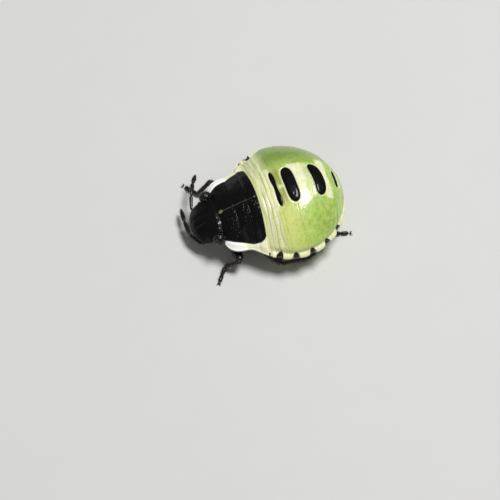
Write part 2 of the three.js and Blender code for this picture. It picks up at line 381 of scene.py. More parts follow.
def plate_edge(plate, x, y):
    """About how far a place lies outside a gland plate's outline, below zero inside it."""
    middle, wide, long, waist, bend, slant = plate
    long = long * (1 - waist * bump(x, WAIST_REACH))
    off = (y - middle - bend * x * x - slant * x) / long
    share = (np.abs(x / wide) ** 4.4 + np.abs(off) ** 2) ** 0.5
    return (share - 1) * np.where(np.abs(x) > wide, wide * 0.5, long)


# Meshes from grids of points

def surface_normals(points, wrap):
    """Outward normals of a grid of points, from its neighbours."""
    across = np.gradient(points, axis=0)
    if wrap:
        around = (np.roll(points, -1, axis=1) - np.roll(points, 1, axis=1)) / 2
    else:
        around = np.gradient(points, axis=1)
    normals = np.cross(across, around)
    return normals / np.maximum(np.linalg.norm(normals, axis=-1, keepdims=True), 1e-9)


def closed_mesh(name, verts, faces, attributes):
    """Smooth mesh with its faces outwards. Each attribute holds a number or a vector for each point."""
    mesh = bpy.data.meshes.new(name)
    mesh.from_pydata(to_frame(verts).tolist(), [], faces)
    for key, values in attributes.items():
        kind, field = ("FLOAT_VECTOR", "vector") if values.ndim == 2 else ("FLOAT", "value")
        layer = mesh.attributes.new(key, kind, "POINT")
        layer.data.foreach_set(field, values.astype(np.float32).ravel())
    mesh.validate()
    turn_outwards(mesh)
    mesh.shade_smooth()
    return mesh


def turn_outwards(mesh):
    """Turns every face round where the closed mesh encloses a negative volume."""
    mesh.calc_loop_triangles()
    corners = np.array([v.co for v in mesh.vertices])
    tris = np.array([t.vertices[:] for t in mesh.loop_triangles])
    a, b, c = corners[tris[:, 0]], corners[tris[:, 1]], corners[tris[:, 2]]
    if np.einsum("ij,ij->i", a - corners.mean(0), np.cross(b, c)).sum() < 0:
        mesh.flip_normals()
    mesh.update()


def with_poles(grid):
    """The points between the first and last ring, then one point for each of these two rings."""
    inner = grid[1:-1].reshape((-1,) + grid.shape[2:])
    return np.concatenate([inner, grid[0].mean(0)[None], grid[-1].mean(0)[None]])


def mesh_from_grid(name, points, attributes):
    """Closed mesh from rings of points, each ring wrapped, with a pole at each end."""
    rows, columns = points.shape[:2]
    index = np.arange((rows - 2) * columns).reshape(rows - 2, columns)
    first, last = index.size, index.size + 1
    following = np.roll(index, -1, axis=1)
    quads = np.stack([index[:-1], following[:-1], following[1:], index[1:]], axis=-1)
    faces = quads.reshape(-1, 4).tolist()
    faces += [[first, b, a] for a, b in zip(index[0], following[0])]
    faces += [[last, a, b] for a, b in zip(index[-1], following[-1])]
    marks = {key: with_poles(values) for key, values in attributes.items()}
    return closed_mesh(name, with_poles(points), faces, marks)


def grid_quads(grid):
    corners = [grid[:-1, :-1], grid[:-1, 1:], grid[1:, 1:], grid[1:, :-1]]
    return np.stack(corners, axis=-1).reshape(-1, 4)


def mesh_from_pair(name, top, bottom, attributes):
    """Closed mesh from an upper and a lower grid that share their outer edge."""
    upper = np.arange(top.shape[0] * top.shape[1]).reshape(top.shape[:2])
    rim = np.ones(upper.shape, bool)
    rim[1:-1, 1:-1] = False
    inner = np.flatnonzero(~rim)
    lower = upper.copy()
    lower[~rim] = upper.size + np.arange(len(inner))
    verts = np.concatenate([top.reshape(-1, 3), bottom.reshape(-1, 3)[inner]])
    faces = np.concatenate([grid_quads(upper), grid_quads(lower)[:, ::-1]]).tolist()
    marks = {
        key: np.concatenate([values.ravel(), values.ravel()[inner]])
        for key, values in attributes.items()
    }
    return closed_mesh(name, verts, faces, marks)


def add_object(name, data, *materials):
    made = bpy.data.objects.new(name, data)
    bpy.context.scene.collection.objects.link(made)
    for material in materials:
        made.data.materials.append(material)
    return made


def join_meshes(name, meshes):
    """One mesh from several, with their attributes."""
    if len(meshes) == 1:
        return meshes[0]
    objects = [add_object(f"{name}_{i}", mesh) for i, mesh in enumerate(meshes)]
    for other in bpy.context.selected_objects:
        other.select_set(False)
    for part in objects:
        part.select_set(True)
    bpy.context.view_layer.objects.active = objects[0]
    bpy.ops.object.join()
    mesh = objects[0].data
    mesh.name = name
    bpy.data.objects.remove(objects[0])
    return mesh


def finish_piece(made, slot, *nodes):
    """Rides the piece on the body, and shows it in place of its solids."""
    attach(made, BODY)
    if nodes:
        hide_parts(*nodes)


# Limbs

def smooth_route(points, steps):
    """Even points along a smooth curve through the given ones."""
    points = np.asarray(points, float)
    before, after = 2 * points[:1] - points[1:2], 2 * points[-1:] - points[-2:-1]
    padded = np.concatenate([before, points, after])
    fine = []
    for i in range(len(points) - 1):
        p0, p1, p2, p3 = padded[i:i + 4]
        for t in np.linspace(0, 1, 24, endpoint=i == len(points) - 2):
            fine.append(0.5 * (2 * p1 + (p2 - p0) * t + (2 * p0 - 5 * p1 + 4 * p2 - p3) * t ** 2
                               + (3 * p1 - p0 - 3 * p2 + p3) * t ** 3))
    fine = np.array(fine)
    run = np.concatenate([[0], np.cumsum(np.linalg.norm(np.diff(fine, axis=0), axis=1))])
    at = np.linspace(0, run[-1], steps)
    return np.stack([np.interp(at, run, fine[:, k]) for k in range(3)], axis=-1)


def swell(base, middle, tip, peak=0.5):
    """Radius that runs from base through middle to tip, in millimetres."""
    places = [0, peak * 0.5, peak, (1 + peak) / 2, 1]
    radii = [base, (base + 2 * middle) / 3, middle, (tip + 2 * middle) / 3, tip]
    return lambda t: np.interp(t, places, radii)


def tube(name, points, radius, around=20, steps=40, flat=1.0, cell=None):
    """Closed round-ended limb along a route. radius(t) is the half width at share t of the length.

    cell holds the low and high u and v of the limb's place on the unwrap of all limbs. Bristles grow
    only on limbs that have one, and not where they would reach the ground.
    """
    line = smooth_route(points, steps)
    t = (1 - np.cos(np.linspace(0, math.pi, steps))) / 2
    line = np.stack([np.interp(t, np.linspace(0, 1, steps), line[:, k]) for k in range(3)], axis=-1)
    ways = np.gradient(line, axis=0)
    ways /= np.linalg.norm(ways, axis=1, keepdims=True)
    length = np.linalg.norm(np.diff(line, axis=0), axis=1).sum()
    sides = np.cross(ways, np.array([0.0, 0.0, 1.0]))
    sides /= np.maximum(np.linalg.norm(sides, axis=1, keepdims=True), 1e-6)
    ups = np.cross(sides, ways)
    radii = radius(t)
    end = np.maximum(radii.max() * 0.9, 1e-6) / length
    cap = np.sqrt(np.clip(1 - (1 - np.clip(np.minimum(t, 1 - t) / end, 0, 1)) ** 2, 0, 1))
    angle = np.linspace(0, FULL_TURN, around, endpoint=False)
    ring = np.cos(angle)[None, :, None] * sides[:, None, :] * flat
    ring = ring + np.sin(angle)[None, :, None] * ups[:, None, :]
    points = line[:, None, :] + ring * (radii * cap)[:, None, None]
    share = np.repeat(t[:, None], around, axis=1)
    turn = np.repeat((angle / FULL_TURN)[None], steps, axis=0)
    low_u, high_u, low_v, high_v = cell or (0.0, 0.0, 0.0, 0.0)
    u = low_u + (high_u - low_u) * turn
    v = low_v + (high_v - low_v) * share
    clear = points[..., 2] + BRISTLE_REACH * ring[..., 2] > BRISTLE_CLEARANCE
    return mesh_from_grid(name, points, {
        "along": share,
        "lie": np.repeat(ways[:, None, :], around, axis=1),
        "root_place": np.stack([u, v, 0 * share], axis=-1),
        "bristle_room": clear * 1.0 if cell else 0 * share,
    })


def claw_meshes(ankle, toe):
    """Two curved claws and the pads between them at the end of a foot."""
    ankle, toe = np.array(ankle), np.array(toe)
    ahead = (toe - ankle) * np.array([1, 1, 0])
    ahead /= np.linalg.norm(ahead)
    side = np.array([-ahead[1], ahead[0], 0])
    made = []
    for sign in SIDES.values():
        root = toe + ahead * 0.03 + side * sign * 0.015
        bow = root + ahead * 0.04 + side * sign * 0.02 + [0, 0, 0.006]
        tip = root + ahead * 0.07 + side * sign * 0.028 + [0, 0, -0.03]
        made.append(tube("claw", [root, bow, tip], swell(0.013, 0.011, 0.003), around=10, steps=16))
        pad = [
            toe + ahead * 0.03 + side * sign * 0.008 + [0, 0, -0.01],
            toe + ahead * 0.065 + side * sign * 0.012 + [0, 0, -0.03],
        ]
        made.append(tube("pad", pad, swell(0.01, 0.018, 0.016), around=10, steps=12))
    return made


# Node trees

def new_group(name, kind, inputs, outputs):
    """Node group with named sockets. inputs holds (name, socket type, default).

    Gives the tree, the sockets that bring its inputs in and those that take its outputs.
    """
    tree = bpy.data.node_groups.new(name, kind)
    for label, socket_type, default in inputs:
        socket = tree.interface.new_socket(label, in_out="INPUT", socket_type=socket_type)
        if default is not None:
            socket.default_value = default
    for label, socket_type in outputs:
        tree.interface.new_socket(label, in_out="OUTPUT", socket_type=socket_type)
    given = tree.nodes.new("NodeGroupInput").outputs
    return tree, given, tree.nodes.new("NodeGroupOutput").inputs


def set_socket(tree, socket, value):
    """Links the socket to another node's output, or sets its plain value."""
    if isinstance(value, bpy.types.NodeSocket):
        tree.links.new(value, socket)
    else:
        socket.default_value = value


def add_node(tree, kind, inputs=None, **values):
    """Adds a node. inputs maps a socket's name or number to a value or to another node's output."""
    made = tree.nodes.new(kind)
    for key, value in values.items():
        setattr(made, key, value)
    for key, value in (inputs or {}).items():
        set_socket(tree, made.inputs[key], value)
    return made


def math_node(tree, operation, *values):
    return add_node(tree, "ShaderNodeMath", dict(enumerate(values)), operation=operation).outputs[0]


def vector_node(tree, operation, inputs):
    return add_node(tree, "ShaderNodeVectorMath", inputs, operation=operation).outputs[0]


def map_range(tree, value, start=(0.0, 1.0), end=(0.0, 1.0), **values):
    """Maps the start range onto the end range, held at its ends."""
    inputs = {0: value, 1: start[0], 2: start[1], 3: end[0], 4: end[1]}
    return add_node(tree, "ShaderNodeMapRange", inputs, **values).outputs[0]


def mix_value(tree, factor, first, second):
    return add_node(tree, "ShaderNodeMix", {0: factor, 2: first, 3: second}).outputs[0]


def mix_colour(tree, factor, first, second):
    """Mixes two colours, each a node's output or three plain numbers."""
    inputs = {0: factor}
    for number, colour in ((6, first), (7, second)):
        inputs[number] = colour if isinstance(colour, bpy.types.NodeSocket) else (*colour, 1.0)
    return add_node(tree, "ShaderNodeMix", inputs, data_type="RGBA").outputs[2]


def noise(tree, place, scale, detail=2.0):
    inputs = {"Vector": place, "Scale": scale, "Detail": detail}
    return add_node(tree, "ShaderNodeTexNoise", inputs).outputs[0]


def geometry_tree(name, inputs):
    """Geometry tree that takes a mesh, these inputs and a material."""
    return new_group(name, "GeometryNodeTree", [
        ("Geometry", "NodeSocketGeometry", None), *inputs, ("Material", "NodeSocketMaterial", None),
    ], [("Geometry", "NodeSocketGeometry")])


def end_tree(tree, given, end, geometry):
    """Gives the finished geometry its material and takes it out of the tree."""
    inputs = {"Geometry": geometry, "Material": given["Material"]}
    painted = add_node(tree, "GeometryNodeSetMaterial", inputs)
    tree.links.new(painted.outputs[0], end["Geometry"])
    return tree


def named_attribute(tree, name, kind):
    node = add_node(tree, "GeometryNodeInputNamedAttribute", {"Name": name}, data_type=kind)
    return node.outputs["Attribute"]


def realized(tree, geometry):
    return add_node(tree, "GeometryNodeRealizeInstances", {0: geometry}).outputs[0]


def scatter(tree, given, room_name):
    """Random points that keep the gap from one another, where the mesh has room for them."""
    room = named_attribute(tree, room_name, "FLOAT")
    gap_squared = math_node(tree, "MULTIPLY", given["Gap"], given["Gap"])
    return add_node(tree, "GeometryNodeDistributePointsOnFaces", {
        "Mesh": given["Geometry"],
        "Distance Min": given["Gap"],
        "Density Max": math_node(tree, "DIVIDE", 1.2, gap_squared),
        "Density Factor": room,
        "Seed": given["Seed"],
    }, distribute_method="POISSON").outputs


def pits_tree(name):
    """Scatters round pits over a surface and keeps how deep each place lies in one."""
    tree, given, end = geometry_tree(name, [
        ("Gap", "NodeSocketFloat", 0.00008),
        ("Width", "NodeSocketFloat", 0.00002),
        ("Depth", "NodeSocketFloat", 0.00001),
        ("Seed", "NodeSocketInt", 1),
    ])
    points = scatter(tree, given, "pit_room")
    near = add_node(tree, "GeometryNodeProximity", {0: points["Points"]}, target_element="POINTS")
    share = math_node(tree, "DIVIDE", near.outputs["Distance"], given["Width"])
    bowl = math_node(tree, "SUBTRACT", 1.0, map_range(tree, share, interpolation_type="SMOOTHSTEP"))
    pit = add_node(tree, "GeometryNodeStoreNamedAttribute", {
        "Geometry": given["Geometry"], "Name": "pit", "Value": bowl,
    }, data_type="FLOAT", domain="POINT")
    normal = add_node(tree, "GeometryNodeInputNormal").outputs[0]
    depth = math_node(tree, "MULTIPLY", math_node(tree, "MULTIPLY", bowl, given["Depth"]), -1.0)
    moved = add_node(tree, "GeometryNodeSetPosition", {
        "Geometry": pit.outputs["Geometry"],
        "Offset": vector_node(tree, "SCALE", {0: normal, "Scale": depth}),
    })
    return end_tree(tree, given, end, realized(tree, moved.outputs[0]))


def bristles_tree(name):
    """Short bristles that lean towards the tip of the limb, each with its root's place as its unwrap."""
    tree, given, end = geometry_tree(name, [
        ("Gap", "NodeSocketFloat", 0.00004),
        ("Length", "NodeSocketFloat", 0.00007),
        ("Thickness", "NodeSocketFloat", 0.0000035),
        ("Lean", "NodeSocketFloat", 0.9),
        ("Patch", "NodeSocketFloat", 0.003),
        ("Seed", "NodeSocketInt", 1),
    ])
    points = scatter(tree, given, "bristle_room")
    lie = named_attribute(tree, "lie", "FLOAT_VECTOR")
    leaning = vector_node(tree, "SCALE", {0: lie, "Scale": given["Lean"]})
    way = vector_node(tree, "ADD", {0: points["Normal"], 1: leaning})
    turned = add_node(tree, "FunctionNodeAlignRotationToVector", {"Vector": way}, axis="Z")
    cone = add_node(tree, "GeometryNodeMeshCone", {
        "Vertices": 4,
        "Side Segments": 2,
        "Radius Top": 0.0,
        "Radius Bottom": given["Thickness"],
        "Depth": given["Length"],
    }, fill_type="NGON")
    size = add_node(
        tree, "FunctionNodeRandomValue", {2: 0.6, 3: 1.15, "Seed": given["Seed"]}, data_type="FLOAT")
    placed = add_node(tree, "GeometryNodeInstanceOnPoints", {
        "Points": points["Points"],
        "Instance": cone.outputs["Mesh"],
        "Rotation": turned.outputs["Rotation"],
        "Scale": size.outputs[1],
    })
    real = realized(tree, placed.outputs[0])
    root = named_attribute(tree, "root_place", "FLOAT_VECTOR")
    patch = vector_node(tree, "SCALE", {0: cone.outputs["UV Map"], "Scale": given["Patch"]})
    mapped = add_node(tree, "GeometryNodeStoreNamedAttribute", {
        "Geometry": real,
        "Name": "OFBake",
        "Value": vector_node(tree, "ADD", {0: root, 1: patch}),
    }, data_type="FLOAT2", domain="CORNER")
    return end_tree(tree, given, end, mapped.outputs["Geometry"])


def facets_tree(name):
    """Ball of small domed lenses."""
    tree, given, end = geometry_tree(name, [
        ("Fineness", "NodeSocketInt", 4),
        ("Size", "NodeSocketVector", (0.0001, 0.0001, 0.0001)),
        ("Centre", "NodeSocketVector", (0.0, 0.0, 0.0)),
        ("Dome", "NodeSocketFloat", 0.03),
    ])
    ball = add_node(tree, "GeometryNodeMeshIcoSphere", {"Radius": 1.0, "Subdivisions": given["Fineness"]})
    raised = add_node(tree, "GeometryNodeDualMesh", {0: ball.outputs["Mesh"]}).outputs[0]
    # Each lens rises in two steps, by this share of the dome, and shrinks by this share at each
    for height, shrink in ((1.0, 0.82), (0.45, 0.6)):
        extruded = add_node(tree, "GeometryNodeExtrudeMesh", {
            "Mesh": raised,
            "Offset Scale": math_node(tree, "MULTIPLY", given["Dome"], height),
            "Individual": True,
        }, mode="FACES").outputs
        raised = add_node(tree, "GeometryNodeScaleElements", {
            "Geometry": extruded["Mesh"], "Selection": extruded["Top"], "Scale": shrink,
        }, domain="FACE").outputs[0]
    shaped = add_node(tree, "GeometryNodeTransform", {
        "Geometry": raised, "Scale": given["Size"], "Translation": given["Centre"],
    })
    return end_tree(tree, given, end, realized(tree, shaped.outputs[0]))


def run_tree(made, tree_name, values):
    """Runs a geometry tree on an object and keeps the result as its plain mesh."""
    tree = node_group(tree_name)
    modifier = made.modifiers.new(tree.name, "NODES")
    modifier.node_group = tree
    sockets = {s.name: s.identifier for s in tree.interface.items_tree if s.in_out == "INPUT"}
    for label, value in values.items():
        modifier[sockets[label]] = value
    bpy.context.view_layer.update()
    evaluated = made.evaluated_get(bpy.context.evaluated_depsgraph_get())
    mesh = bpy.data.meshes.new_from_object(evaluated)
    made.modifiers.remove(modifier)
    made.data = mesh
    if not len(mesh.polygons):
        raise RuntimeError(f"{tree.name} left {made.name} empty")


def pitted_piece(name, mesh, slot, nodes, material, gap, width=1.0, depth=1.0, seed=0):
    """A piece with pits, whose width and depth are shares of the usual ones."""
    body = bpy.context.scene.bug_body
    made = add_object(name, mesh)
    run_tree(made, "scattered_pits", {
        "Gap": gap,
        "Width": body.pit_width * width,
        "Depth": body.pit_depth * depth,
        "Seed": body.seed + seed,
        "Material": finish(material),
    })
    finish_piece(made, slot, *nodes)


# Finishes

def fine_relief_group(name):
    """Height of fine wrinkles and grain, used by every shell and skin."""
    tree, given, end = new_group(name, "ShaderNodeTree", [
        ("Vector", "NodeSocketVector", None),
        ("Wrinkles per metre", "NodeSocketFloat", 9000.0),
        ("Grain per metre", "NodeSocketFloat", 60000.0),
        ("Grain share", "NodeSocketFloat", 0.4),
    ], [("Height", "NodeSocketFloat"), ("Blotch", "NodeSocketFloat")])
    place = given["Vector"]
    wrinkles = noise(tree, place, given["Wrinkles per metre"], 4.0)
    grain = add_node(tree, "ShaderNodeTexVoronoi", {"Vector": place, "Scale": given["Grain per metre"]})
    height = mix_value(tree, given["Grain share"], wrinkles, grain.outputs["Distance"])
    tree.links.new(height, end["Height"])
    tree.links.new(noise(tree, place, 2600.0, 3.0), end["Blotch"])
    return tree


def edge_mask_group(name):
    """Crisp, slightly uneven mask from a distance in millimetres, 1 where it is below zero."""
    tree, given, end = new_group(name, "ShaderNodeTree", [
        ("Distance", "NodeSocketFloat", 0.0),
        ("Vector", "NodeSocketVector", None),
        ("Softness", "NodeSocketFloat", 0.01),
        ("Unevenness", "NodeSocketFloat", 0.012),
    ], [("Mask", "NodeSocketFloat")])
    centred = math_node(tree, "SUBTRACT", noise(tree, given["Vector"], 22000.0), 0.5)
    wander = math_node(tree, "MULTIPLY", centred, given["Unevenness"])
    distance = math_node(tree, "ADD", given["Distance"], wander)
    inside = math_node(tree, "MULTIPLY", given["Softness"], -1.0)
    mask = map_range(tree, distance, (inside, given["Softness"]), (1.0, 0.0))
    tree.links.new(mask, end["Mask"])
    return tree


def attribute(tree, name):
    return add_node(tree, "ShaderNodeAttribute", attribute_name=name).outputs["Fac"]


def shade(colour, share):
    return tuple(share * c for c in colour)


def paint(tree, under, name, share, colour):
    """Lays a colour over another as far as the mesh's attribute says."""
    factor = math_node(tree, "MULTIPLY", attribute(tree, name), share)
    return mix_colour(tree, factor, under, colour)


def relief(tree, place, wrinkles, grain, share):
    return add_node(tree, "ShaderNodeGroup", node_tree=node_group("fine_relief"), inputs={
        "Vector": place, "Wrinkles per metre": wrinkles, "Grain per metre": grain, "Grain share": share,
    }).outputs


def edge_mask(tree, name, place, softness, unevenness):
    """Mask of the places where the mesh's attribute, a distance in millimetres, is below zero."""
    distance = attribute(tree, name)
    return add_node(tree, "ShaderNodeGroup", node_tree=node_group("edge_mask"), inputs={
        "Distance": distance, "Vector": place, "Softness": softness, "Unevenness": unevenness,
    }).outputs["Mask"]


def bump_map(tree, height, strength, distance):
    inputs = {"Height": height, "Strength": strength, "Distance": distance}
    return add_node(tree, "ShaderNodeBump", inputs).outputs[0]


def set_shader(tree, **values):
    """Sets the shader's sockets, whose names are given in small letters with underscores."""
    shader = tree.nodes["Principled BSDF"]
    for key, value in values.items():
        label = key.replace("_", " ").title().replace("Ior", "IOR")
        set_socket(tree, shader.inputs[label], value)


def new_material(name, **values):
    """Material whose shader has these plain values, with its tree and the places on the object."""
    material = bpy.data.materials.new(name)
    material.use_nodes = True
    tree = material.node_tree
    set_shader(tree, **values)
    place = add_node(tree, "ShaderNodeTexCoord").outputs["Object"]
    return material, tree, place


def skin_material(name):
    """Stretched green skin with cream bands, dark folds, pits and black rim spots."""
    colours = bpy.context.scene.bug_colours
    material, tree, place = new_material(
        name, subsurface_weight=0.12, subsurface_scale=0.00012, subsurface_radius=(0.8, 1.0, 0.3),
        coat_roughness=0.14, specular_ior_level=0.3)
    detail = relief(tree, place, 14000.0, 70000.0, 0.35)
    patchy = map_range(tree, noise(tree, place, 8500.0, 3.0), (0.38, 0.68))
    broad = map_range(tree, detail["Blotch"], (0.35, 0.65))
    green = mix_colour(tree, broad, shade(colours.green, 0.78), colours.green)
    colour = mix_colour(tree, math_node(tree, "MULTIPLY", patchy, 0.45), green, colours.yellow)
    colour = paint(tree, colour, "yellow", 0.8, colours.yellow)
    colour = paint(tree, colour, "olive", 0.7, colours.olive)
    # Painted shade: darker green laid over the bug's right flank
    colour = paint(tree, colour, "deep", 0.8, shade(colours.green, 0.45))
    cloud = math_node(tree, "MULTIPLY_ADD", patchy, 0.18, 0.82)
    colour = paint(tree, colour, "cream", cloud, colours.cream)
    colour = paint(tree, colour, "fold", 0.75, shade(colours.olive, 0.55))
    colour = paint(tree, colour, "pit", 0.75, shade(colours.green, 0.15))
    spots = edge_mask(tree, "spot", place, 0.008, 0.02)
    set_shader(
        tree,
        base_color=mix_colour(tree, spots, colour, colours.black),
        roughness=mix_value(tree, spots, map_range(tree, detail["Blotch"], end=(0.34, 0.5)), 0.3),
        coat_weight=mix_value(tree, spots, 1.0, 0.15),
        normal=bump_map(tree, detail["Height"], 0.5, 0.000007))
    return material


def shell_material(name):
    """Glossy black shell with white and cream margins and a thin pale middle line."""
    colours = bpy.context.scene.bug_colours
    material, tree, place = new_material(
        name, coat_weight=0.24, coat_roughness=0.05, specular_ior_level=0.06)
    detail = relief(tree, place, 16000.0, 90000.0, 0.5)
    black = mix_colour(tree, detail["Blotch"], colours.black, shade(colours.black, 2.2))
    pale = edge_mask(tree, "pale", place, 0.01, 0.02)
    margin = mix_colour(tree, attribute(tree, "creamy"), colours.white, colours.cream)
    colour = mix_colour(tree, pale, black, margin)
    middle = edge_mask(tree, "middle", place, 0.006, 0.008)
    faint = math_node(tree, "MULTIPLY", middle, 0.45)
    colour = mix_colour(tree, faint, colour, shade(colours.cream, 0.5))
    set_shader(
        tree,
        base_color=paint(tree, colour, "pit", 0.5, colours.black),
        roughness=mix_value(tree, pale, map_range(tree, detail["Blotch"], end=(0.25, 0.45)), 0.42),
        normal=bump_map(tree, detail["Height"], 0.12, 0.000005))
    return material


def eye_material(name):
    colours = bpy.context.scene.bug_colours
    material, tree, place = new_material(
        name, coat_weight=0.5, coat_roughness=0.05, specular_ior_level=0.2)
    detail = relief(tree, place, 20000.0, 90000.0, 0.3)
    set_shader(
        tree,
        base_color=mix_colour(tree, detail["Blotch"], colours.eye, shade(colours.eye, 0.35)),
        roughness=map_range(tree, detail["Blotch"], end=(0.12, 0.24)),
        normal=bump_map(tree, detail["Height"], 0.2, 0.000002))
    return material


def limb_material(name):
    """Dark shell of the limbs, browner towards each end."""
    colours = bpy.context.scene.bug_colours
    material, tree, place = new_material(
        name, coat_weight=0.3, coat_roughness=0.12, specular_ior_level=0.25)
    detail = relief(tree, place, 18000.0, 90000.0, 0.45)
    from_middle = math_node(tree, "MULTIPLY_ADD", attribute(tree, "along"), 2.0, -1.0)
    ends = math_node(tree, "POWER", math_node(tree, "ABSOLUTE", from_middle), 8.0)
    brown = mix_colour(tree, math_node(tree, "MULTIPLY", ends, 0.8), colours.limb, colours.joint)
    blotch = math_node(tree, "MULTIPLY", detail["Blotch"], 0.25)
    set_shader(
        tree,
        base_color=mix_colour(tree, blotch, brown, colours.joint),
        roughness=map_range(tree, detail["Blotch"], end=(0.18, 0.36)),
        normal=bump_map(tree, detail["Height"], 0.5, 0.000004))
    return material


def bristle_material(name):
    colour = bpy.context.scene.bug_colours.bristle
    material, tree, place = new_material(name, roughness=0.45)
    blotch = noise(tree, place, 9000.0)
    set_shader(tree, base_color=mix_colour(tree, blotch, colour, shade(colour, 0.4)))
    return material


def floor_material(name):
    colour = bpy.context.scene.bug_colours.floor
    material, tree, place = new_material(name, roughness=0.75)
    blotch = noise(tree, place, 900.0, 5.0)
    set_shader(tree, base_color=mix_colour(tree, blotch, shade(colour, 0.97), colour))
    return material


TREES = {
    "scattered_pits": pits_tree,
    "bristle_coat": bristles_tree,
    "lens_ball": facets_tree,
    "fine_relief": fine_relief_group,
    "edge_mask": edge_mask_group,
}
FINISHES = {
    "skin_finish": skin_material,
    "shell_finish": shell_material,
    "eye_finish": eye_material,
    "limb_finish": limb_material,
    "bristles": bristle_material,
    "pale_floor": floor_material,
}


def node_group(name):
    """The named tree, built when it is first asked for."""
    return bpy.data.node_groups.get(name) or TREES[name](name)


def finish(name):
    """The named material, made when it is first asked for."""
    return bpy.data.materials.get(name) or FINISHES[name](name)


def plain_marks(shape):
    """Marks of a shell that is black all over."""
    return {
        "pale": np.full(shape, FAR_OFF),
        "creamy": np.zeros(shape),
        "middle": np.full(shape, FAR_OFF),
    }


def patch(side, along, half_width, side_fade, start, end):
    """Share of a patch that lies across the middle line, with soft sides, start and end."""
    return smooth(half_width - side, *side_fade) * smooth(along, *start) * smooth(along, *end)


